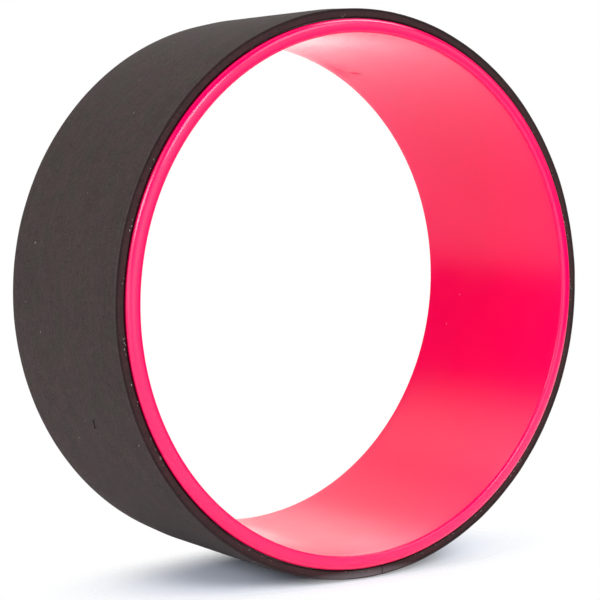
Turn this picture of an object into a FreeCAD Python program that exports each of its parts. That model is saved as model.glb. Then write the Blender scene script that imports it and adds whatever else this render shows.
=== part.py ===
"""Yoga wheel: a rigid hoop with a foam strip bonded round it.

Millimetres and degrees. The wheel's axis lies along Y and the origin is its centre, so it stands on its
tread at the bottom, with +Z up.
"""
import FreeCAD, Part
import os

import Sketcher

# Driving sizes: name, value, what it measures
SIZES = (
    ("hoop_outer_diameter", 317.0, "outside of the hoop, under the adhesive"),
    ("hoop_wall", 8.5, "hoop from bore to outside"),
    ("hoop_width", 130.0, "hoop from rim face to rim face"),
    ("rim_outer_round", 4.5, "rounding of the hoop's outer edges"),
    ("rim_inner_round", 2.0, "rounding of the bore's edges"),
    ("film_thickness", 0.3, "adhesive between hoop and foam"),
    ("film_setback", 2.5, "how far the adhesive stops short of the foam's end faces"),
    ("tread_thickness", 6.2, "foam strip from adhesive to outside"),
    ("tread_width", 123.0, "foam strip from end face to end face"),
    ("tread_edge_round", 1.3, "rounding of the foam's outer edges"),
    ("seam_angle", -4.6, "place of the butt joint, turned about the wheel's axis from the bottom"),
    ("seam_gap", 0.4, "width of the butt joint between the strip's two ends"),
    ("seam_groove", 0.8, "depth from the foam's surface down to the glue in the joint"),
)

# Radii from the centre outwards, each built on the one before
HOOP_RADIUS = "sizes.hoop_outer_diameter / 2"
BORE_RADIUS = f"{HOOP_RADIUS} - sizes.hoop_wall"
FILM_RADIUS = f"{HOOP_RADIUS} + sizes.film_thickness"
TREAD_RADIUS = f"{FILM_RADIUS} + sizes.tread_thickness"

FULL_TURN = 360.0
SAME_PLACE = 1e-4
VOLUME_SHARE = 0.01


def make_sheet(doc):
    """Put the driving sizes in a sheet, one row each: what it measures, then its aliased value."""
    sheet = doc.addObject("Spreadsheet::Sheet", "sizes")
    for row, (alias, value, meaning) in enumerate(SIZES, start=1):
        sheet.set(f"A{row}", meaning)
        sheet.set(f"B{row}", str(value))
        sheet.setAlias(f"B{row}", alias)
    doc.recompute()
    return sheet


def make_body(doc, label):
    """An empty piece, named as it is written out."""
    body = doc.addObject("PartDesign::Body", label)
    body.Label = label
    return body


def make_sketch(body, name, role):
    """An empty sketch on one of the body's own origin planes."""
    plane = next(feature for feature in body.Origin.OriginFeatures if feature.Role == role)
    sketch = body.newObject("Sketcher::SketchObject", name)
    sketch.AttachmentSupport = [(plane, "")]
    sketch.MapMode = "FlatFace"
    return sketch


def add_rectangle(sketch, left, right, low, high):
    """A rectangle whose four sides keep the distances from the sketch's origin that the expressions give."""
    corners = [FreeCAD.Vector(x, y, 0) for x, y in ((-1, -1), (1, -1), (1, 1), (-1, 1))]
    for start, end in zip(corners, corners[1:] + corners[:1]):
        sketch.addGeometry(Part.LineSegment(start, end))
    bottom, side, top, other_side = range(4)
    origin = (-1, 1)
    for line, following in ((bottom, side), (side, top), (top, other_side), (other_side, bottom)):
        sketch.addConstraint(Sketcher.Constraint("Coincident", line, 2, following, 1))
    for line in (bottom, top):
        sketch.addConstraint(Sketcher.Constraint("Horizontal", line))
    for line in (side, other_side):
        sketch.addConstraint(Sketcher.Constraint("Vertical", line))
    sides = (
        ("left", "DistanceX", (bottom, 1), -1, left),
        ("right", "DistanceX", (bottom, 2), 1, right),
        ("low", "DistanceY", (bottom, 1), -1, low),
        ("high", "DistanceY", (top, 1), 1, high),
    )
    for name, kind, corner, drawn_at, expression in sides:
        index = sketch.addConstraint(Sketcher.Constraint(kind, *origin, *corner, drawn_at))
        sketch.renameConstraint(index, name)
        sketch.setExpression(f"Constraints.{name}", expression)


def add_ring(body, inner, outer, width):
    """Turn a rectangle beside the wheel's axis into a ring centred across the width."""
    profile = make_sketch(body, f"{body.Label}_section", "XY_Plane")
    add_rectangle(profile, inner, outer, f"-({width}) / 2", f"({width}) / 2")
    ring = body.newObject("PartDesign::Revolution", f"{body.Label}_ring")
    ring.Profile = profile
    ring.ReferenceAxis = (profile, ["V_Axis"])
    ring.Angle = FULL_TURN
    body.Document.recompute()
    return ring


def round_edges(body, feature, name, radius, pick):
    """Round the edges that run round the wheel's axis, those furthest from it or those nearest to it."""
    circles = {
        f"Edge{index}": edge.Curve.Radius
        for index, edge in enumerate(feature.Shape.Edges, start=1)
        if isinstance(edge.Curve, Part.Circle) and abs(edge.Curve.Axis.y) > 1 - SAME_PLACE
    }
    place = pick(circles.values())
    rounding = body.newObject("PartDesign::Fillet", name)
    rounding.Base = (feature, [edge for edge, size in circles.items() if abs(size - place) < SAME_PLACE])
    rounding.setExpression("Radius", radius)
    body.Document.recompute()
    return rounding


def turn_to_seam(body):
    """Turn a piece about the wheel's axis so that its bottom comes to the butt joint."""
    body.Placement = FreeCAD.Placement(FreeCAD.Vector(), FreeCAD.Rotation(FreeCAD.Vector(0, 1, 0), 1.0))
    body.setExpression("Placement.Rotation.Angle", "sizes.seam_angle")


def make_hoop(doc):
    """The rigid ring: plain bore, flat rim faces and rounded edges."""
    body = make_body(doc, "hoop")
    ring = add_ring(body, BORE_RADIUS, HOOP_RADIUS, "sizes.hoop_width")
    outside = round_edges(body, ring, "hoop_outer_edges", "sizes.rim_outer_round", max)
    round_edges(body, outside, "hoop_bore_edges", "sizes.rim_inner_round", min)
    return body


def make_adhesive_film(doc):
    """The bond between hoop and foam, a little narrower than the foam."""
    body = make_body(doc, "adhesive_film")
    add_ring(body, HOOP_RADIUS, FILM_RADIUS, "sizes.tread_width - 2 * sizes.film_setback")
    return body


def make_tread(doc, sheet):
    """The foam strip, wrapped once round, with a narrow gap right through it where its ends meet."""
    body = make_body(doc, "tread")
    ring = add_ring(body, FILM_RADIUS, TREAD_RADIUS, "sizes.tread_width")
    rounded = round_edges(body, ring, "tread_outer_edges", "sizes.tread_edge_round", max)
    slot = make_sketch(body, "seam_section", "XZ_Plane")
    past_outside = f"-({TREAD_RADIUS} + sizes.tread_thickness)"
    add_rectangle(slot, "-sizes.seam_gap / 2", "sizes.seam_gap / 2", past_outside, f"-({HOOP_RADIUS})")
    seam = body.newObject("PartDesign::Pocket", "seam")
    seam.Profile = slot
    seam.Type = "ThroughAll"
    seam.SideType = "Symmetric"
    turn_to_seam(body)
    doc.recompute()
    removed = rounded.Shape.Volume - seam.Shape.Volume
    strip_section = sheet.tread_thickness * sheet.tread_width
    if abs(removed / (sheet.seam_gap * strip_section) - 1) > VOLUME_SHARE:
        raise ValueError(f"the seam took {removed:.3f} cubic millimetres out of the tread")
    return body


def make_seam_bond(doc):
    """The glue in the butt joint, a little below the foam's surface all round."""
    body = make_body(doc, "seam_bond")
    section = make_sketch(body, "bond_section", "XZ_Plane")
    outer_end = f"-({TREAD_RADIUS} - sizes.seam_groove)"
    add_rectangle(section, "-sizes.seam_gap / 2", "sizes.seam_gap / 2", outer_end, f"-({FILM_RADIUS})")
    bond = body.newObject("PartDesign::Pad", "bond")
    bond.Profile = section
    bond.SideType = "Symmetric"
    bond.setExpression("Length", "sizes.tread_width - 2 * sizes.seam_groove")
    turn_to_seam(body)
    return body


def check(doc, pieces):
    """Stop if anything in the document failed or a piece is not one valid solid."""
    doc.recompute()
    for item in doc.Objects:
        if "Invalid" in item.State or "Error" in item.State:
            raise ValueError(f"{item.Label} failed: {item.State}")
    for piece in pieces:
        shape = piece.Shape
        if shape.isNull() or not shape.isValid() or len(shape.Solids) != 1:
            raise ValueError(f"{piece.Label} is not one valid solid")


def main():
    doc = FreeCAD.newDocument("yoga_wheel")
    sheet = make_sheet(doc)
    pieces = [make_hoop(doc), make_adhesive_film(doc), make_tread(doc, sheet), make_seam_bond(doc)]
    check(doc, pieces)
    os.makedirs("parts", exist_ok=True)
    for piece in pieces:
        piece.Shape.exportStep(f"parts/{piece.Label}.step")
        box = piece.Shape.optimalBoundingBox(False)
        spans = f"{box.XLength:.2f} x {box.YLength:.2f} x {box.ZLength:.2f} mm"
        print(f"{piece.Label}: {spans}, {piece.Shape.Volume / 1000:.2f} cubic centimetres")


main()
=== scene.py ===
"""Yoga wheel: a glossy moulded hoop wrapped in a foam tread, set on a studio floor.

Metres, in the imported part's own frame: the wheel's axle lies along Y and it stands on its tread, +Z up.
"""
import math
import random

import bmesh
import bpy
from bpy.props import FloatProperty, FloatVectorProperty, IntProperty, PointerProperty
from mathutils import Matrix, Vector


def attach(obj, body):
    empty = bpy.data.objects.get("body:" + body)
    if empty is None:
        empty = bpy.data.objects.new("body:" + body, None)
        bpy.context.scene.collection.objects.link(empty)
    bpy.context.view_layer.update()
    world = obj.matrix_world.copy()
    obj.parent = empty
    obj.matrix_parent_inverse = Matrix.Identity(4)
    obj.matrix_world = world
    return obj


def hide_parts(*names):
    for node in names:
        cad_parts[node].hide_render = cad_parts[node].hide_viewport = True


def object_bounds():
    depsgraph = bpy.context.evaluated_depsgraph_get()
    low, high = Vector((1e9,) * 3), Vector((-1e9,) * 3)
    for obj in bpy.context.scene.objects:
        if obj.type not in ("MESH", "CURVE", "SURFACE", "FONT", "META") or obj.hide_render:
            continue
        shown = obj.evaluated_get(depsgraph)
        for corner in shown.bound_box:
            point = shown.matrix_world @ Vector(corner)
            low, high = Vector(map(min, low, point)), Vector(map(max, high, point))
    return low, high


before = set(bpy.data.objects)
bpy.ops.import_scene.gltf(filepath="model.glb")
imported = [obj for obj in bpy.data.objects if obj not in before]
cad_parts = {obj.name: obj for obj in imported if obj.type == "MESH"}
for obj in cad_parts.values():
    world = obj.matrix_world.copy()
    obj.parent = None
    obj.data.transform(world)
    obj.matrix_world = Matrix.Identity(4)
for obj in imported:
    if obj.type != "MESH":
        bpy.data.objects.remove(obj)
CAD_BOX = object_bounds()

bl_info = {
    "name": "Yoga wheel",
    "version": (1, 0, 0),
    "blender": (4, 5, 0),
    "location": "3D View > Sidebar > Yoga wheel",
    "description": "Models a yoga wheel round its packed solids and sets it on a studio floor",
    "category": "Add Mesh",
}

MM = 0.001
BODY = "root"
CENTRE = (0.0, 0.0, 0.0)
FULL_TURN = 2 * math.pi
SAME_PLACE = 0.01 * MM
SMOOTH_BELOW = math.radians(32)

# Steps in which the hoop and the adhesive are turned, and the finer ones of the foam
RIGID_STEPS, FOAM_STEPS = 360, 720


def axle_reach(place):
    """How far a place is from the axle."""
    return math.hypot(place.x, place.z)


def ring_sizes(node):
    """Inner radius, outer radius and width of a solid that runs round the axle, read from its corners."""
    corners = [corner.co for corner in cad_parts[node].data.vertices]
    radii = [axle_reach(corner) for corner in corners]
    return min(radii), max(radii), max(corner.y for corner in corners) - min(corner.y for corner in corners)


BORE_RADIUS, HOOP_RADIUS, HOOP_WIDTH = ring_sizes("hoop")
FILM_INNER, FILM_OUTER, FILM_WIDTH = ring_sizes("adhesive_film")
TREAD_INNER, TREAD_RADIUS, TREAD_WIDTH = ring_sizes("tread")


def linear(hex_colour):
    """The linear colour of an sRGB hex value."""
    channels = [int(hex_colour[place:place + 2], 16) / 255 for place in (1, 3, 5)]
    return tuple(c / 12.92 if c <= 0.04045 else ((c + 0.055) / 1.055) ** 2.4 for c in channels)


def length(name, description, default):
    """A size in metres."""
    return FloatProperty(
        name=name, description=description, default=default, unit="LENGTH", precision=5, min=0.0
    )


def colour(name, description, hex_colour):
    """A colour, given as an sRGB hex value."""
    return FloatVectorProperty(
        name=name,
        description=description,
        default=linear(hex_colour),
        subtype="COLOR",
        size=3,
        min=0.0,
        max=1.0,
    )


def angle(name, description, degrees):
    """An angle, given in degrees."""
    return FloatProperty(name=name, description=description, default=math.radians(degrees), subtype="ANGLE")


def share(name, description, default):
    """A number from 0 to 1."""
    return FloatProperty(
        name=name, description=description, default=default, subtype="FACTOR", min=0.0, max=1.0
    )


class WheelSizes(bpy.types.PropertyGroup):
    """Sizes of the wheel's pieces."""

    rim_outer_round: length("Rim outer round", "Rounding of the hoop's outer edges", 4.5 * MM)
    rim_inner_round: length("Rim inner round", "Rounding of the bore's edges", 2.0 * MM)
    tread_edge_round: length("Tread edge round", "Rounding of the foam's outer edges", 0.45 * MM)
    tread_edge_drop: length("Tread edge drop", "How far the foam's skin falls towards its edges", 0.85 * MM)
    tread_inner_round: length("Tread inner round", "Rounding of the foam's edges by the hoop", 0.8 * MM)
    tread_dish: length("Tread dish", "How far the blade dished the foam's end faces", 0.5 * MM)
    tread_unevenness: length("Tread unevenness", "How far the foam's skin dips below a true ring", 0.14 * MM)
    cut_wander: length("Cut wander", "How far the foam's cut edges wander along the axle", 0.5 * MM)
    seam_angle: angle("Seam angle", "Place of the foam's butt joint, from the bottom towards +X", 4.6)
    seam_gap: length("Seam gap", "Width of the butt joint between the strip's two ends", 0.6 * MM)
    nick_width: length("Nick width", "Width of the nick in the foam's skin", 1.3 * MM)
    nick_depth: length("Nick depth", "Depth of the nick in the foam's skin", 0.8 * MM)
    glue_wander: length("Glue wander", "How far the adhesive's edges wander along the axle", 1.4 * MM)
    glue_speck: length("Glue speck", "Radius of a speck of squeezed-out adhesive", 0.36 * MM)
    speck_clusters: IntProperty(
        name="Speck clusters",
        description="Clusters of adhesive specks along each rim",
        default=26,
        min=0,
        max=200,
    )


class WheelFinishes(bpy.types.PropertyGroup):
    """Colours and gloss of the wheel's pieces."""

    hoop_pink: colour("Hoop", "Dye of the moulded hoop", "#FF0456")
    bore_roughness: share("Bore roughness", "Roughness of the bore's satin wall", 0.22)
    rim_roughness: share("Rim roughness", "Roughness of the polished rims", 0.12)
    hoop_dust: colour("Hoop dust", "Dust on the hoop", "#FFB4C8")
    foam_skin: colour("Foam skin", "Foam's outer skin", "#392D28")
    foam_cut: colour("Foam cut", "Foam where the blade went through", "#351D1B")
    foam_speck: colour("Foam speck", "Burst cells that catch the light", "#8C857E")
    # Colour of the light from the floor that is painted on the foam's cut ends, near where the wheel stands
    painted_floor_light: colour("Floor dust", "Dust on the foam's cut ends where the wheel stands", "#6E6561")
    glue: colour("Adhesive", "Cured adhesive", "#B9AFA2")
    seam_glue: colour("Seam adhesive", "Cured adhesive in the butt joint", "#1E1817")


SENSOR_WIDTH = 36.0


class WheelStudio(bpy.types.PropertyGroup):
    """Camera and floor of the studio."""

    camera_azimuth: angle("Camera azimuth", "Turn of the camera round the wheel", -35.09)
    camera_elevation: angle("Camera elevation", "Height of the camera over the wheel's centre", 3.95)
    camera_distance: length("Camera distance", "From the wheel's centre to the camera", 1.1049)
    lens_azimuth: angle("Lens azimuth", "Turn of the lens, which the shift makes up for", -32.72)
    lens_elevation: angle("Lens elevation", "Tilt of the lens, which the shift makes up for", 0.80)
    lens_length: FloatProperty(
        name="Lens length",
        description=f"Focal length in millimetres on a {SENSOR_WIDTH:g} mm sensor",
        default=109.5,
        min=10.0,
    )
    lens_shift_across: FloatProperty(
        name="Lens shift across", description="Share of the picture's width", default=0.1202
    )
    lens_shift_up: FloatProperty(
        name="Lens shift up", description="Share of the picture's width", default=-0.1882
    )
    floor: colour("Floor", "Studio paper", "#FCFCFE")


def towards(azimuth, elevation):
    """The direction from the wheel at an azimuth, from the front towards +X, and an elevation."""
    level = math.cos(elevation)
    return Vector((math.sin(azimuth) * level, -math.cos(azimuth) * level, math.sin(elevation)))


def add_node(tree, kind, links=None, **settings):
    """Add a shader node with its settings; links gives each input a value or the output that feeds it."""
    node = tree.nodes.new(kind)
    for name, value in settings.items():
        setattr(node, name, value)
    for place, value in (links or {}).items():
        socket = node.inputs[place]
        if isinstance(value, bpy.types.NodeSocket):
            tree.links.new(value, socket)
        else:
            socket.default_value = value
    return node


def start_material(name):
    """An empty node material with its shader, which is returned with its tree."""
    material = bpy.data.materials.new(name)
    material.use_nodes = True
    tree = material.node_tree
    tree.nodes.clear()
    shader = add_node(tree, "ShaderNodeBsdfPrincipled")
    add_node(tree, "ShaderNodeOutputMaterial", {"Surface": shader.outputs["BSDF"]})
    return material, tree, shader


def opaque(rgb):
    """A colour as a shader's socket takes it."""
    return (rgb[0], rgb[1], rgb[2], 1.0)


def round_the_axle(tree, turn):
    """Object places as metres round the bore from the top, metres along the axle and metres from the axle.

    The turn moves the place where the way round starts over, which is opposite the top.
    """
    place = add_node(tree, "ShaderNodeTexCoord").outputs["Object"]
    turned = add_node(tree, "ShaderNodeMapping", {"Vector": place, "Rotation": (0.0, turn, 0.0)})
    parts = add_node(tree, "ShaderNodeSeparateXYZ", {"Vector": turned.outputs["Vector"]}).outputs
    across = {0: parts["X"], 1: parts["Z"]}
    bearing = add_node(tree, "ShaderNodeMath", across, operation="ARCTAN2").outputs[0]
    unrolled = {0: bearing, 1: BORE_RADIUS}
    way_round = add_node(tree, "ShaderNodeMath", unrolled, operation="MULTIPLY").outputs[0]
    spoke = add_node(tree, "ShaderNodeCombineXYZ", {"X": parts["X"], "Z": parts["Z"]}).outputs[0]
    reach = add_node(tree, "ShaderNodeVectorMath", {0: spoke}, operation="LENGTH").outputs["Value"]
    ring = {"X": way_round, "Y": parts["Y"], "Z": reach}
    return place, add_node(tree, "ShaderNodeCombineXYZ", ring).outputs[0]


# Specular level of the bore's satin wall and of the polished rims
BORE_SHEEN, RIM_SHEEN = 0.25, 0.5

# Marks on the hoop: degrees round from the top towards +X, then millimetres along the axle and from it, half
# the length, half the width, the length's turn from the way round in degrees, and how far the mark shows.
# Smudges dull the sheen, flecks darken the dye and dust covers it
HOOP_SMUDGES = (
    ("broad smudge", 25.5, 54.0, 150.0, 13.0, 11.0, 0.0, 0.75),
    ("upper smudge", 23.9, 43.6, 150.0, 6.0, 2.4, -49.0, 0.9),
    ("main smudge", 27.7, 41.8, 150.0, 7.6, 3.2, -73.0, 1.0),
    ("small smudge", 23.7, -26.4, 150.0, 3.4, 1.6, -69.0, 0.8),
)
HOOP_FLECKS = (
    ("edge spot", 83.6, -61.5, 150.0, 1.0, 0.8, 0.0, 0.9),
    ("faint mark", 95.8, -10.4, 150.0, 2.2, 0.8, 20.0, 0.3),
    ("rim fleck", -51.4, -64.9, 154.9, 0.7, 0.5, 0.0, 0.8),
    ("rim fleck", -49.0, -64.9, 154.6, 0.7, 0.5, 0.0, 0.8),
    ("rim fleck", -36.4, -65.0, 152.3, 0.7, 0.5, 0.0, 0.7),
)
HOOP_DUST = (
    ("upper dust", 94.6, 32.7, 150.0, 0.7, 0.5, 0.0, 0.6),
    ("lower dust", 102.3, 42.6, 150.0, 0.7, 0.5, 0.0, 0.5),
)

# Where a mark starts to fade and is gone: its own half sizes from its middle, with the fraying noise added
MARK_FADES, MARK_GONE = 0.5, 1.7


def marks(tree, ring, places):
    """How far any of the marks shows, from soft patches with uneven edges."""
    uneven = add_node(tree, "ShaderNodeTexNoise", {"Vector": ring, "Scale": 1 / (1.6 * MM), "Detail": 2.0})
    shown = None
    for name, bearing, along, reach, half_length, half_width, turn, strength in places:
        patch = add_node(
            tree,
            "ShaderNodeMapping",
            {
                "Vector": ring,
                "Location": (math.radians(bearing) * BORE_RADIUS, along * MM, reach * MM),
                "Rotation": (0.0, 0.0, math.radians(turn)),
                "Scale": (half_length * MM, half_width * MM, half_width * MM),
            },
            vector_type="TEXTURE",
            label=name,
        )
        away = add_node(tree, "ShaderNodeVectorMath", {0: patch.outputs["Vector"]}, operation="LENGTH")
        fraying = {0: away.outputs["Value"], 1: uneven.outputs["Fac"]}
        fading = {
            "Value": add_node(tree, "ShaderNodeMath", fraying, operation="ADD").outputs[0],
            "From Min": MARK_FADES,
            "From Max": MARK_GONE,
            "To Min": strength,
            "To Max": 0.0,
        }
        soft = add_node(tree, "ShaderNodeMapRange", fading, interpolation_type="SMOOTHSTEP")
        mark = soft.outputs["Result"]
        if shown is not None:
            mark = add_node(tree, "ShaderNodeMath", {0: shown, 1: mark}, operation="MAXIMUM").outputs[0]
        shown = mark
    return shown


def moulded_abs(finish):
    """Injection-moulded ABS, dyed through, with a satin bore and polished rims.

    To the eye: one deep even pink under a sheen that goes pale at a slant and is clearest on the rims. A few
    handling smudges dull it, and there are flecks, specks of dust and the slight waviness of a moulded wall.
    """
    material, tree, shader = start_material("moulded_gloss_abs")
    place, ring = round_the_axle(tree, 0.0)
    # The dye's flow in the mould, the patches that hands leave and the waves of the moulded wall
    flow, handling, waves = (
        add_node(
            tree, "ShaderNodeTexNoise", {"Vector": place, "Scale": 1 / grain, "Detail": detail}
        ).outputs["Fac"]
        for grain, detail in ((45 * MM, 3.0), (16 * MM, 4.0), (30 * MM, 1.0))
    )
    # The dye, and how bright it is where it flowed deeper, under grime, and in the corner by the foam, where
    # shade is painted in
    pink, deeper, grime, dark = (
        opaque([brightness * channel for channel in finish.hoop_pink])
        for brightness in (1.0, 0.93, 0.58, 0.1)
    )
    dyed = add_node(tree, "ShaderNodeMix", {0: flow, 6: deeper, 7: pink}, data_type="RGBA").outputs[2]
    soiling = {0: marks(tree, ring, HOOP_FLECKS), 6: dyed, 7: grime}
    soiled = add_node(tree, "ShaderNodeMix", soiling, data_type="RGBA").outputs[2]
    dusting = {0: marks(tree, ring, HOOP_DUST), 6: soiled, 7: opaque(finish.hoop_dust)}
    dust_and_floor_light = add_node(tree, "ShaderNodeMix", dusting, data_type="RGBA").outputs[2]
    # Painted shade in the corner between the foam's end and the hoop's outside, with a little glue and dirt
    # too
    sides = add_node(tree, "ShaderNodeSeparateXYZ", {"Vector": ring}).outputs
    along = add_node(tree, "ShaderNodeMath", {0: sides["Y"]}, operation="ABSOLUTE").outputs[0]
    outside = {"Value": sides["Z"], "From Min": HOOP_RADIUS - 0.4 * MM, "From Max": HOOP_RADIUS - 0.1 * MM}
    corner_shading = {
        "Value": along,
        "From Min": TREAD_WIDTH / 2 + 0.5 * MM,
        "From Max": TREAD_WIDTH / 2 + 1.5 * MM,
        "To Min": add_node(tree, "ShaderNodeMapRange", outside).outputs["Result"],
        "To Max": 0.0,
    }
    corner = add_node(tree, "ShaderNodeMapRange", corner_shading, interpolation_type="SMOOTHSTEP").outputs["Result"]
    corner_shaded = add_node(tree, "ShaderNodeMix", {0: corner, 6: dust_and_floor_light, 7: dark}, data_type="RGBA").outputs[2]
    tree.links.new(corner_shaded, shader.inputs["Base Color"])
    # The rims are polished, from the edge of the bore outwards
    polish = {"Value": sides["Z"], "From Min": BORE_RADIUS + 0.2 * MM, "From Max": BORE_RADIUS + 1.5 * MM}
    gleam, rough = (
        add_node(tree, "ShaderNodeMapRange", {**polish, "To Min": bore, "To Max": rim}).outputs["Result"]
        for bore, rim in ((BORE_SHEEN, RIM_SHEEN), (finish.bore_roughness, finish.rim_roughness))
    )
    dulling = {"Value": marks(tree, ring, HOOP_SMUDGES), "To Min": 1.0, "To Max": 0.0}
    left = add_node(tree, "ShaderNodeMapRange", dulling).outputs["Result"]
    sheen = add_node(tree, "ShaderNodeMath", {0: gleam, 1: left}, operation="MULTIPLY").outputs[0]
    tree.links.new(sheen, shader.inputs["Specular IOR Level"])
    handled = {"Value": handling, "From Min": 0.3, "From Max": 0.7, "To Min": 0.86, "To Max": 1.14}
    uneven = add_node(tree, "ShaderNodeMapRange", handled).outputs["Result"]
    gloss = add_node(tree, "ShaderNodeMath", {0: rough, 1: uneven}, operation="MULTIPLY").outputs[0]
    tree.links.new(gloss, shader.inputs["Roughness"])
    bump = add_node(tree, "ShaderNodeBump", {"Height": waves, "Strength": 0.1, "Distance": 0.04 * MM})
    tree.links.new(bump.outputs["Normal"], shader.inputs["Normal"])
    return material


# Heights above the floor where the painted light from the floor on the foam starts and where it is full
FLOOR_LIGHT_STARTS, FLOOR_LIGHT_FULL = 6.5 * MM, 1.5 * MM


def foam(finish, seam_angle, name, base, stretch, edges, floor_lit):
    """Closed-cell foam: a matt skin, or the redder open cells where a blade went through.

    To the eye: a dull warm grey with a fine grain, faint patches that lean warm or olive, drawn-out streaks,
    dark pits and stray pale cells. The stretch draws the streaks out: along the way round on the skin, across
    it on a cut. Each edge gives a side, where its shade starts and is full along that side, and the shade.
    Edges paint in highlight and shade; painted light from the floor makes it paler near the floor.
    """
    material, tree, shader = start_material(name)
    place, ring = round_the_axle(tree, seam_angle)
    drawn = add_node(tree, "ShaderNodeMapping", {"Vector": ring, "Scale": stretch}).outputs["Vector"]
    # Pattern, where it is laid, grain, detail, and the lowest and highest shade that it gives. The cells are
    # about 0.3 mm; their grain is drawn at 0.9 mm, the finest that a picture of the wheel shows
    patterns = (
        ("tint", place, 12 * MM, 2.0, 0.0, 1.0),
        ("edge_unevenness", place, 18 * MM, 1.0, 0.5, 1.0),
        ("clouds", place, 60 * MM, 1.0, 0.93, 1.07),
        ("blotches", place, 14 * MM, 2.0, 0.93, 1.07),
        ("mottle", place, 4 * MM, 2.0, 0.9, 1.1),
        ("cells", place, 0.9 * MM, 2.0, 0.7, 1.3),
        ("streaks", drawn, 1.6 * MM, 2.0, 0.9, 1.1),
    )
    noises, shades, levels = {}, {}, []
    for pattern, where, grain, detail, low, high in patterns:
        laid = {"Vector": where, "Scale": 1 / grain, "Detail": detail, "Roughness": 0.55}
        noises[pattern] = add_node(tree, "ShaderNodeTexNoise", laid, label=pattern).outputs["Fac"]
        spread = {"Value": noises[pattern], "From Min": 0.3, "From Max": 0.7, "To Min": low, "To Max": high}
        shades[pattern] = add_node(tree, "ShaderNodeMapRange", spread).outputs["Result"]
    sides = add_node(tree, "ShaderNodeSeparateXYZ", {"Vector": ring}).outputs
    # Each edge paints in a highlight or a shade, unevenly along its length
    for side, start, full, shade in edges:
        reach = add_node(tree, "ShaderNodeMath", {0: sides[side]}, operation="ABSOLUTE").outputs[0]
        uneven = {"Value": shades["edge_unevenness"], "To Min": 1.0, "To Max": shade}
        edge_level = add_node(tree, "ShaderNodeMapRange", uneven).outputs["Result"]
        fading = {"Value": reach, "From Min": start, "From Max": full, "To Min": 1.0, "To Max": edge_level}
        levels.append(add_node(tree, "ShaderNodeMapRange", fading).outputs["Result"])
    # Dark pits in the middles of cells 6 mm apart
    pits = add_node(tree, "ShaderNodeTexVoronoi", {"Vector": place, "Scale": 1 / (6 * MM)}).outputs
    sunk = {"Value": pits["Distance"], "From Min": 0.08, "From Max": 0.14, "To Min": 0.5, "To Max": 1.0}
    level = add_node(tree, "ShaderNodeMapRange", sunk).outputs["Result"]
    levels += [shades[pattern] for pattern in ("clouds", "blotches", "mottle", "cells", "streaks")]
    for shade in levels:
        level = add_node(tree, "ShaderNodeMath", {0: level, 1: shade}, operation="MULTIPLY").outputs[0]
    warm = opaque([base[0] * 1.09, base[1] * 0.95, base[2] * 1.0])
    olive = opaque([base[0] * 0.91, base[1] * 1.04, base[2] * 0.87])
    leaning = {0: shades["tint"], 6: warm, 7: olive}
    tinted = add_node(tree, "ShaderNodeMix", leaning, data_type="RGBA").outputs[2]
    shading = {0: tinted, "Scale": level}
    shaded = add_node(tree, "ShaderNodeVectorMath", shading, operation="SCALE").outputs["Vector"]
    # Pale burst cells 9 mm apart, of which only a few show much
    burst = add_node(tree, "ShaderNodeTexVoronoi", {"Vector": place, "Scale": 1 / (9 * MM)}).outputs
    chance = add_node(tree, "ShaderNodeMath", {0: burst["Color"], 1: 5.0}, operation="POWER").outputs[0]
    catching = {"Value": burst["Distance"], "From Min": 0.05, "From Max": 0.09, "To Min": chance}
    pale = add_node(tree, "ShaderNodeMapRange", {**catching, "To Max": 0.0}).outputs["Result"]
    specked = {0: pale, 6: shaded, 7: opaque(finish.foam_speck)}
    tone = add_node(tree, "ShaderNodeMix", specked, data_type="RGBA").outputs[2]
    # Painted light from the floor: the cut ends go paler towards the bottom
    if floor_lit:
        height = add_node(tree, "ShaderNodeSeparateXYZ", {"Vector": place}).outputs["Z"]
        starts, full = FLOOR_LIGHT_STARTS - TREAD_RADIUS, FLOOR_LIGHT_FULL - TREAD_RADIUS
        floor_light_fading = {"Value": height, "From Min": starts, "From Max": full}
        dust = add_node(tree, "ShaderNodeMapRange", floor_light_fading).outputs["Result"]
        dust_and_floor_light = {0: dust, 6: tone, 7: opaque(finish.painted_floor_light)}
        tone = add_node(tree, "ShaderNodeMix", dust_and_floor_light, data_type="RGBA").outputs[2]
    tree.links.new(tone, shader.inputs["Base Color"])
    matt = {"Value": noises["clouds"], "From Min": 0.3, "From Max": 0.7, "To Min": 0.86, "To Max": 0.94}
    tree.links.new(add_node(tree, "ShaderNodeMapRange", matt).outputs["Result"], shader.inputs["Roughness"])
    shader.inputs["Specular IOR Level"].default_value = 0.3
    grainy = {"Height": noises["cells"], "Strength": 0.45, "Distance": 0.15 * MM}
    bump = add_node(tree, "ShaderNodeBump", grainy)
    tree.links.new(bump.outputs["Normal"], shader.inputs["Normal"])
    return material


def cured_adhesive(name, base):
    """Contact adhesive, brushed on and cured.

    To the eye: a dull film, paler where it is thick and skinned over.
    """
    material, tree, shader = start_material(name)
    place = add_node(tree, "ShaderNodeTexCoord").outputs["Object"]
    skin, lumps = (
        add_node(tree, "ShaderNodeTexNoise", {"Vector": place, "Scale": 1 / grain}).outputs["Fac"]
        for grain in (2 * MM, 0.6 * MM)
    )
    thin = opaque([0.6 * channel for channel in base])
    coat = add_node(tree, "ShaderNodeMix", {0: skin, 6: thin, 7: opaque(base)}, data_type="RGBA").outputs[2]
    tree.links.new(coat, shader.inputs["Base Color"])
    dull = {"Value": skin, "To Min": 0.4, "To Max": 0.7}
    tree.links.new(add_node(tree, "ShaderNodeMapRange", dull).outputs["Result"], shader.inputs["Roughness"])
    bump = add_node(tree, "ShaderNodeBump", {"Height": lumps, "Strength": 0.5, "Distance": 0.1 * MM})
    tree.links.new(bump.outputs["Normal"], shader.inputs["Normal"])
    return material


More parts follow.
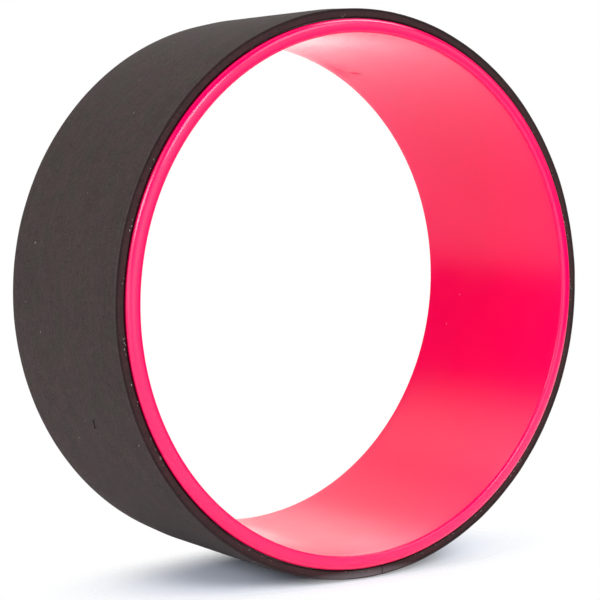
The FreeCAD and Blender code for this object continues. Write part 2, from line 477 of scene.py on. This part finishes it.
def pick(piece, kind, test):
    """In edit mode, select only the corners, edges or faces that pass the test."""
    bpy.ops.mesh.select_mode(type=kind)
    bpy.ops.mesh.select_all(action="DESELECT")
    mesh = bmesh.from_edit_mesh(piece.data)
    items = {"VERT": mesh.verts, "EDGE": mesh.edges, "FACE": mesh.faces}[kind]
    chosen = [item for item in items if test(item)]
    if not chosen:
        raise RuntimeError(f"{piece.name} has nothing to select there")
    for item in chosen:
        item.select_set(True)
    mesh.select_flush_mode()
    bmesh.update_edit_mesh(piece.data)


def middle(item):
    """The middle of an edge or face."""
    return sum((corner.co for corner in item.verts), Vector()) / len(item.verts)


def start_section(name, inner, outer, width):
    """Lay a ring's section flat beside the axle, in edit mode."""
    bpy.ops.object.select_all(action="DESELECT")
    bpy.ops.mesh.primitive_plane_add(size=1.0)
    piece = bpy.context.object
    piece.name = piece.data.name = name
    bpy.ops.object.mode_set(mode="EDIT")
    bpy.ops.mesh.select_all(action="SELECT")
    bpy.ops.transform.resize(value=(outer - inner, width, 1.0))
    bpy.ops.transform.translate(value=((outer + inner) / 2, 0.0, 0.0))
    return piece


def round_corners(piece, test, radius, segments):
    """Round the section's corners that pass the test."""
    pick(piece, "VERT", test)
    bpy.ops.mesh.bevel(offset=radius, offset_type="OFFSET", segments=segments, affect="VERTICES")


def keep_outline():
    """Take the section's face out, so that only its outline is turned."""
    bpy.ops.mesh.select_mode(type="FACE")
    bpy.ops.mesh.select_all(action="SELECT")
    bpy.ops.mesh.delete(type="ONLY_FACE")


def split_edges(piece, test, cuts):
    """Divide the section's edges that pass the test."""
    pick(piece, "EDGE", test)
    bpy.ops.mesh.subdivide(number_cuts=cuts)


def turn_section(piece, sweep, steps):
    """Turn the section's outline round the axle, close what meets and point the faces outwards."""
    bpy.ops.object.mode_set(mode="OBJECT")
    turn = piece.modifiers.new("turn", "SCREW")
    turn.axis = "Y"
    turn.angle = sweep
    turn.steps = turn.render_steps = steps
    bpy.ops.object.modifier_apply(modifier=turn.name)
    bpy.ops.object.mode_set(mode="EDIT")
    bpy.ops.mesh.select_mode(type="VERT")
    bpy.ops.mesh.select_all(action="SELECT")
    bpy.ops.mesh.remove_doubles(threshold=SAME_PLACE)
    bpy.ops.mesh.normals_make_consistent(inside=False)


def ruffle(piece, name, grain, depth, level, direction="NORMAL", group=""):
    """Uneven the piece by a cloudy pattern of that grain; level is the share that goes inwards."""
    clouds = bpy.data.textures.new(name, "CLOUDS")
    clouds.noise_scale = grain
    clouds.noise_depth = 2
    modifier = piece.modifiers.new(name, "DISPLACE")
    modifier.texture = clouds
    modifier.texture_coords = "LOCAL"
    modifier.direction = direction
    modifier.strength = depth
    modifier.mid_level = level
    modifier.vertex_group = group
    bpy.ops.object.modifier_apply(modifier=name)
    bpy.data.textures.remove(clouds)


def settle(piece, slot, *nodes):
    """Hand a finished piece over: it is shaded smooth, rides on the wheel and hides the solids it stands for.
    The slot is not used.
    """
    bpy.ops.object.mode_set(mode="OBJECT")
    bpy.ops.object.shade_smooth_by_angle(angle=SMOOTH_BELOW)
    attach(piece, BODY)
    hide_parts(*nodes)


class WheelHoop(bpy.types.Operator):
    """Turn the rigid hoop with its rounded rims"""

    bl_idname = "wheel.hoop"
    bl_label = "Hoop"

    def execute(self, context):
        sizes, finish = context.scene.wheel_sizes, context.scene.wheel_finishes
        wall_middle = (BORE_RADIUS + HOOP_RADIUS) / 2
        hoop = start_section("moulded_hoop", BORE_RADIUS, HOOP_RADIUS, HOOP_WIDTH)
        bore = BORE_RADIUS + SAME_PLACE
        round_corners(hoop, lambda corner: corner.co.x > wall_middle, sizes.rim_outer_round, segments=8)
        round_corners(hoop, lambda corner: corner.co.x < bore, sizes.rim_inner_round, segments=6)
        keep_outline()
        split_edges(hoop, lambda edge: edge.calc_length() > HOOP_WIDTH / 2, cuts=21)
        turn_section(hoop, FULL_TURN, RIGID_STEPS)
        bpy.ops.object.mode_set(mode="OBJECT")
        hoop.data.materials.append(moulded_abs(finish))
        settle(hoop, "hoop_plastic", "hoop")
        return {"FINISHED"}


# Ends of the nick in the foam's skin: degrees from the top towards +X, millimetres along the axle
NICK_ENDS = ((-114.1, -12.3), (-116.0, -9.6))


class WheelTread(bpy.types.Operator):
    """Wrap the foam strip round the hoop, with cut edges and a butt joint"""

    bl_idname = "wheel.tread"
    bl_label = "Foam tread"

    def execute(self, context):
        sizes, finish = context.scene.wheel_sizes, context.scene.wheel_finishes
        half = TREAD_WIDTH / 2
        skin, inside = TREAD_RADIUS - SAME_PLACE, TREAD_INNER + SAME_PLACE
        tread = start_section("foam_tread", TREAD_INNER, TREAD_RADIUS, TREAD_WIDTH)
        round_corners(tread, lambda corner: corner.co.x > skin, sizes.tread_edge_round, segments=3)
        round_corners(tread, lambda corner: corner.co.x < inside, sizes.tread_inner_round, segments=3)
        keep_outline()
        split_edges(tread, lambda edge: edge.calc_length() > half and middle(edge).x > skin, cuts=47)
        self.drop_edges(tread, sizes, half)
        split_edges(tread, lambda edge: abs(middle(edge).y) > half - SAME_PLACE, cuts=11)
        self.dish_ends(tread, sizes, half)
        self.wrap(tread, sizes)
        self.nick(tread, sizes)
        ruffle(tread, "skin_unevenness", 28 * MM, sizes.tread_unevenness, 1.0)
        ruffle(tread, "cut_wander", 22 * MM, sizes.cut_wander, 0.5, direction="Y")
        corner = TREAD_RADIUS - sizes.tread_edge_drop
        # A highlight is painted pale along the skin's edges; shade is painted dark on the cut, in a crease
        # below the skin and beside the glue, where glue also stains it
        edge_highlight = ("Y", half - 1.4 * MM, half - 0.8 * MM, 1.4)
        crease_shade = ("Z", corner - 1.9 * MM, corner - 1.2 * MM, 0.3)
        glue_stain_and_shade = ("Z", TREAD_INNER + 1.0 * MM, TREAD_INNER + 0.3 * MM, 0.3)
        for name, base, stretch, edges, floor_lit in (
            ("closed_cell_foam_skin", finish.foam_skin, (0.06, 1.0, 1.0), (edge_highlight,), False),
            ("closed_cell_foam_cut", finish.foam_cut, (1.0, 1.0, 0.15), (crease_shade, glue_stain_and_shade), True),
        ):
            tread.data.materials.append(foam(finish, sizes.seam_angle, name, base, stretch, edges, floor_lit))
        bpy.ops.object.mode_set(mode="EDIT")
        endwise, below_skin = 0.6, corner - 1.0 * MM
        pick(
            tread,
            "FACE",
            lambda face: abs(face.normal.y) > endwise or axle_reach(middle(face)) < below_skin,
        )
        tread.active_material_index = 1
        bpy.ops.object.material_slot_assign()
        settle(tread, "tread_foam", "tread")
        return {"FINISHED"}

    def dish_ends(self, tread, sizes, half):
        """Sink the end faces towards the outer edge, as a blade leaves soft foam."""
        edge = TREAD_RADIUS - sizes.tread_edge_drop - sizes.tread_edge_round
        reaches = (3.2 * MM, 2.4 * MM, 1.7 * MM, 1.1 * MM)
        for reach in reaches:
            for side in (-1, 1):
                pick(
                    tread,
                    "VERT",
                    lambda corner: side * corner.co.y > half - sizes.tread_dish - SAME_PLACE
                    and edge - reach < corner.co.x < edge - SAME_PLACE,
                )
                sink = -side * sizes.tread_dish / len(reaches)
                bpy.ops.transform.translate(value=(0.0, sink, 0.0))

    def drop_edges(self, tread, sizes, half):
        """Let the skin fall towards the edges, a little more with each step outwards."""
        steps, from_edge = 6, 14 * MM
        lowest = TREAD_RADIUS - sizes.tread_edge_round - sizes.tread_edge_drop - SAME_PLACE
        for step in range(steps):
            reach = from_edge * (1 - step / steps)
            pick(tread, "VERT", lambda corner: abs(corner.co.y) > half - reach and corner.co.x > lowest)
            bpy.ops.transform.translate(value=(-sizes.tread_edge_drop / steps, 0.0, 0.0))

    def wrap(self, tread, sizes):
        """Turn the strip from one side of the butt joint to the other and close its two ends."""
        gap = sizes.seam_gap / ((TREAD_INNER + TREAD_RADIUS) / 2)
        start = math.pi / 2 - sizes.seam_angle + gap / 2
        bpy.ops.mesh.select_all(action="SELECT")
        bpy.ops.transform.rotate(value=-start, orient_axis="Y", center_override=CENTRE)
        first = bmesh.from_edit_mesh(tread.data).verts[:]
        outermost = max(first, key=lambda corner: axle_reach(corner.co)).co.copy()
        if outermost.z > 0 or outermost.x < 0:
            raise RuntimeError("the butt joint isn't at the bottom")
        turn_section(tread, FULL_TURN - gap, FOAM_STEPS)
        for side in (-1, 1):
            pick(
                tread,
                "EDGE",
                lambda edge: edge.is_boundary and side * self.past_seam(middle(edge), sizes) > 0,
            )
            bpy.ops.mesh.edge_face_add()
        bpy.ops.mesh.select_all(action="SELECT")
        bpy.ops.mesh.normals_make_consistent(inside=False)
        bpy.ops.object.mode_set(mode="OBJECT")

    def nick(self, tread, sizes):
        """Press the short slit of a nick into the skin, low on the side that shows."""
        ends = [self.on_skin(*end) for end in NICK_ENDS]
        slit = ends[1] - ends[0]
        middle_of_slit = (ends[0] + ends[1]) / 2
        inwards = -Vector((middle_of_slit.x, 0.0, middle_of_slit.z)).normalized()
        bpy.ops.object.mode_set(mode="EDIT")
        around = 5 * MM
        pick(tread, "FACE", lambda face: (middle(face) - middle_of_slit).length < around)
        bpy.ops.mesh.subdivide(number_cuts=7)
        steps = 4
        for step in range(steps):
            reach = sizes.nick_width / 2 * (1 - step / steps)

            def in_slit(corner):
                along = max(0.0, min(1.0, (corner.co - ends[0]).dot(slit) / slit.length_squared))
                away = corner.co - ends[0] - along * slit
                depth = away.dot(inwards)
                return depth < 2 * sizes.nick_depth and (away - depth * inwards).length < reach

            pick(tread, "VERT", in_slit)
            bpy.ops.transform.translate(value=inwards * sizes.nick_depth / steps)
        bpy.ops.object.mode_set(mode="OBJECT")

    def on_skin(self, bearing, along):
        """The place on the skin at degrees from the top towards +X and millimetres along the axle."""
        turn = math.radians(bearing)
        return Vector((TREAD_RADIUS * math.sin(turn), along * MM, TREAD_RADIUS * math.cos(turn)))

    def past_seam(self, place, sizes):
        """How far a place lies past the middle of the butt joint, towards +X."""
        return place.x * math.cos(sizes.seam_angle) + place.z * math.sin(sizes.seam_angle)


# Seeds of the specks' places and of one speck's lumps
SPECK_SEED, LUMP_SEED = 11, 3


class WheelAdhesive(bpy.types.Operator):
    """Spread the adhesive between hoop and foam, with specks squeezed out along the rims"""

    bl_idname = "wheel.adhesive"
    bl_label = "Adhesive"

    def execute(self, context):
        sizes, finish = context.scene.wheel_sizes, context.scene.wheel_finishes
        film = start_section("adhesive_coat", FILM_INNER, FILM_OUTER, FILM_WIDTH)
        keep_outline()
        split_edges(film, lambda edge: edge.calc_length() > FILM_WIDTH / 2, cuts=7)
        turn_section(film, FULL_TURN, RIGID_STEPS)
        bpy.ops.object.mode_set(mode="OBJECT")
        ruffle(film, "glue_wander", 7 * MM, sizes.glue_wander, 0.5, direction="Y")
        specks = self.specks(sizes)
        bpy.ops.object.select_all(action="DESELECT")
        for speck in specks:
            speck.select_set(True)
        film.select_set(True)
        context.view_layer.objects.active = film
        bpy.ops.object.join()
        film.data.materials.append(cured_adhesive("cured_contact_adhesive", finish.glue))
        settle(film, "adhesive", "adhesive_film")
        return {"FINISHED"}

    def specks(self, sizes):
        """Model one lumpy speck and copy it in clusters along both rims."""
        chance = random.Random(SPECK_SEED)
        flattened, lumpiness = (0.6, 0.8, 1.2), 0.3
        fewest, most, cluster_spread = 2, 7, 0.03
        bpy.ops.object.select_all(action="DESELECT")
        bpy.ops.mesh.primitive_ico_sphere_add(subdivisions=1, radius=sizes.glue_speck)
        first = bpy.context.object
        bpy.ops.object.mode_set(mode="EDIT")
        bpy.ops.mesh.select_all(action="SELECT")
        bpy.ops.transform.resize(value=flattened)
        bpy.ops.transform.vertex_random(offset=sizes.glue_speck * lumpiness, seed=LUMP_SEED)
        bpy.ops.object.mode_set(mode="OBJECT")
        made = []
        for side in (-1, 1):
            for cluster in range(sizes.speck_clusters):
                spot = chance.uniform(0, FULL_TURN)
                for speck in range(chance.randint(fewest, most)):
                    bearing = spot + chance.gauss(0, cluster_spread)
                    bpy.ops.object.select_all(action="DESELECT")
                    first.select_set(True)
                    bpy.context.view_layer.objects.active = first
                    bpy.ops.object.duplicate()
                    copy = bpy.context.object
                    reach = TREAD_INNER + sizes.tread_inner_round + chance.uniform(-0.3, 0.9) * MM
                    copy.location = (
                        reach * math.cos(bearing),
                        side * (TREAD_WIDTH / 2 - chance.uniform(0.0, 0.25) * MM),
                        -reach * math.sin(bearing),
                    )
                    copy.rotation_euler = (0.0, bearing, 0.0)
                    copy.scale = (
                        chance.uniform(0.5, 1.1),
                        chance.uniform(0.5, 1.1),
                        chance.uniform(0.5, 1.3),
                    )
                    bpy.ops.object.transform_apply(location=True, rotation=True, scale=True)
                    made.append(copy)
        bpy.data.objects.remove(first)
        return made


class WheelSeam(bpy.types.Operator):
    """Give the glue in the foam's butt joint its finish"""

    bl_idname = "wheel.seam"
    bl_label = "Seam glue"

    def execute(self, context):
        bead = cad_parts["seam_bond"]
        bead.data.materials.clear()
        finish = context.scene.wheel_finishes
        bead.data.materials.append(cured_adhesive("cured_seam_adhesive", finish.seam_glue))
        return {"FINISHED"}


# Soft glows round the studio: azimuth from the front towards +X and elevation in degrees, the angles from
# its middle where it is full and where it has faded out, its strength and its tint
COOL, WARM = (0.87, 0.95, 1.11), (1.05, 1.05, 1.0)
STUDIO_GLOWS = (
    ("left softbox", -80.0, 27.0, 6.0, 13.0, 8.0, COOL),
    ("front softbox", -8.0, 36.0, 6.0, 16.0, 7.2, COOL),
    ("front softbox's end", 30.0, 45.0, 6.0, 18.0, 3.7, COOL),
    ("right softbox", 86.0, 55.0, 6.0, 16.0, 6.0, COOL),
    ("front fill", 10.0, 0.0, 20.0, 34.0, 0.8, COOL),
    ("broad front fill", -10.0, 10.0, 20.0, 45.0, 1.1, COOL),
    ("right front fill", 50.0, 22.0, 8.0, 25.0, 1.2, COOL),
    ("low fill", -60.0, -10.0, 3.0, 22.0, 2.2, COOL),
    ("left fill", -90.0, 20.0, 8.0, 38.0, 2.2, COOL),
    ("rear left", -150.0, 45.0, 3.0, 22.0, 1.6, WARM),
    ("rear overhead", 180.0, 60.0, 8.0, 38.0, 0.9, WARM),
    ("backdrop", 150.0, 0.0, 15.0, 60.0, 1.0, WARM),
    ("backdrop's middle", 135.0, 30.0, 3.0, 22.0, 1.25, WARM),
    ("low backdrop", 145.0, -12.0, 8.0, 20.0, 1.1, WARM),
)

# The floor's radius and sides, and how far from the wheel it starts to fade and is gone for the light
FLOOR_RADIUS, FLOOR_SIDES = 3.0, 96
BOUNCE_FADES, BOUNCE_GONE = 0.35, 1.8
# Middle and half sizes of an ellipse round the wheel's shadow, and the shares of it between which the paper
# goes over into the white backdrop for the eye
SHADOW_MIDDLE, SHADOW_HALF_SIZES = (0.0, -0.01, 0.0), (0.2, 0.08, 1.0)
PAPER_FADES, PAPER_GONE = 0.35, 0.95
WHITE = (1.0, 1.0, 1.0, 1.0)


class WheelStage(bpy.types.Operator):
    """Set up the floor, the studio light and the camera"""

    bl_idname = "wheel.stage"
    bl_label = "Stage"

    def execute(self, context):
        scene, studio = context.scene, context.scene.wheel_studio
        self.lay_floor(studio)
        self.light(scene)
        self.aim(scene, studio)
        scene.view_settings.view_transform = "Standard"
        return {"FINISHED"}

    def lay_floor(self, studio):
        """Lay a round of pale paper under the wheel."""
        bpy.ops.object.select_all(action="DESELECT")
        bpy.ops.mesh.primitive_circle_add(
            vertices=FLOOR_SIDES, radius=FLOOR_RADIUS, fill_type="NGON", location=(0.0, 0.0, CAD_BOX[0].z)
        )
        floor = bpy.context.object
        floor.name = floor.data.name = "studio_floor"
        material, tree, shader = start_material("matt_studio_paper")
        shader.inputs["Roughness"].default_value = 0.9
        shader.inputs["Specular IOR Level"].default_value = 0.1
        place = add_node(tree, "ShaderNodeTexCoord").outputs["Object"]
        fibres = add_node(tree, "ShaderNodeTexNoise", {"Vector": place, "Scale": 1 / (3 * MM)}).outputs["Fac"]
        duller = opaque([0.97 * channel for channel in studio.floor])
        fibrous = {0: fibres, 6: duller, 7: opaque(studio.floor)}
        pulp = add_node(tree, "ShaderNodeMix", fibrous, data_type="RGBA").outputs[2]
        tree.links.new(pulp, shader.inputs["Base Color"])
        # The paper throws light back from far round the wheel, and for the eye it ends beyond the shadow
        shadow = {"Vector": place, "Location": SHADOW_MIDDLE, "Scale": SHADOW_HALF_SIZES}
        near = add_node(tree, "ShaderNodeMapping", shadow, vector_type="TEXTURE").outputs["Vector"]
        kept = []
        for where, fades, gone in ((place, BOUNCE_FADES, BOUNCE_GONE), (near, PAPER_FADES, PAPER_GONE)):
            reach = add_node(tree, "ShaderNodeVectorMath", {0: where}, operation="LENGTH").outputs["Value"]
            fading = {"Value": reach, "From Min": fades, "From Max": gone, "To Min": 1.0, "To Max": 0.0}
            soft = add_node(tree, "ShaderNodeMapRange", fading, interpolation_type="SMOOTHSTEP")
            kept.append(soft.outputs["Result"])
        seen = add_node(tree, "ShaderNodeLightPath").outputs["Is Camera Ray"]
        either = {0: seen, 2: kept[0], 3: kept[1]}
        shown = add_node(tree, "ShaderNodeMix", either, data_type="FLOAT").outputs[0]
        tree.links.new(shown, shader.inputs["Alpha"])
        floor.data.materials.append(material)

    def light(self, scene):
        """Light the wheel by the studio's glows, in front of a backdrop that is white to the eye."""
        world = bpy.data.worlds.new("studio")
        world.use_nodes = True
        tree = world.node_tree
        tree.nodes.clear()
        looking = add_node(tree, "ShaderNodeTexCoord").outputs["Generated"]
        total = (0.0, 0.0, 0.0)
        for name, azimuth, elevation, full, gone, strength, tint in STUDIO_GLOWS:
            middle_of_glow = towards(math.radians(azimuth), math.radians(elevation))
            facing = {0: looking, 1: middle_of_glow}
            near = add_node(tree, "ShaderNodeVectorMath", facing, operation="DOT_PRODUCT")
            fading = {
                "Value": near.outputs["Value"],
                "From Min": math.cos(math.radians(gone)),
                "From Max": math.cos(math.radians(full)),
                "To Min": 0.0,
                "To Max": strength,
            }
            level = add_node(tree, "ShaderNodeMapRange", fading, interpolation_type="SMOOTHSTEP", label=name)
            tinted = {0: tint, "Scale": level.outputs["Result"]}
            glow = add_node(tree, "ShaderNodeVectorMath", tinted, operation="SCALE").outputs["Vector"]
            adding = {0: total, 1: glow}
            total = add_node(tree, "ShaderNodeVectorMath", adding, operation="ADD").outputs["Vector"]
        seen = add_node(tree, "ShaderNodeLightPath").outputs["Is Camera Ray"]
        shown = add_node(tree, "ShaderNodeMix", {0: seen, 6: total, 7: WHITE}, data_type="RGBA")
        lit = add_node(tree, "ShaderNodeBackground", {"Color": shown.outputs[2]})
        add_node(tree, "ShaderNodeOutputWorld", {"Surface": lit.outputs["Background"]})
        scene.world = world

    def aim(self, scene, studio):
        """Set the camera with its shifted lens."""
        place = towards(studio.camera_azimuth, studio.camera_elevation) * studio.camera_distance
        back = towards(studio.lens_azimuth, studio.lens_elevation)
        bpy.ops.object.camera_add(location=place, rotation=(-back).to_track_quat("-Z", "Y").to_euler())
        camera = bpy.context.object
        camera.name = camera.data.name = "studio_camera"
        camera.data.sensor_width = SENSOR_WIDTH
        camera.data.lens = studio.lens_length
        camera.data.shift_x = studio.lens_shift_across
        camera.data.shift_y = studio.lens_shift_up
        scene.camera = camera


class WheelPanel(bpy.types.Panel):
    """Lists the wheel's pieces, sizes and finishes"""

    bl_idname = "VIEW3D_PT_yoga_wheel"
    bl_label = "Yoga wheel"
    bl_space_type = "VIEW_3D"
    bl_region_type = "UI"
    bl_category = "Yoga wheel"

    def draw(self, context):
        column = self.layout.column()
        for operator in OPERATORS:
            column.operator(operator.bl_idname)
        for group in (context.scene.wheel_sizes, context.scene.wheel_finishes, context.scene.wheel_studio):
            box = self.layout.box()
            for name in group.__annotations__:
                box.prop(group, name)


GROUPS = {"wheel_sizes": WheelSizes, "wheel_finishes": WheelFinishes, "wheel_studio": WheelStudio}
OPERATORS = (WheelHoop, WheelTread, WheelAdhesive, WheelSeam, WheelStage)


def register():
    """Make the wheel's sizes, finishes, operators and panel known to Blender."""
    for kind in (*GROUPS.values(), *OPERATORS, WheelPanel):
        bpy.utils.register_class(kind)
    for name, group in GROUPS.items():
        setattr(bpy.types.Scene, name, PointerProperty(type=group))


def unregister():
    """Take them out again."""
    for name in GROUPS:
        delattr(bpy.types.Scene, name)
    for kind in (WheelPanel, *reversed(OPERATORS), *reversed(GROUPS.values())):
        bpy.utils.unregister_class(kind)


def main():
    """Build the wheel and its stage."""
    register()
    bpy.ops.wheel.hoop()
    bpy.ops.wheel.tread()
    bpy.ops.wheel.adhesive()
    bpy.ops.wheel.seam()
    bpy.ops.wheel.stage()


if __name__ == "__main__":
    main()
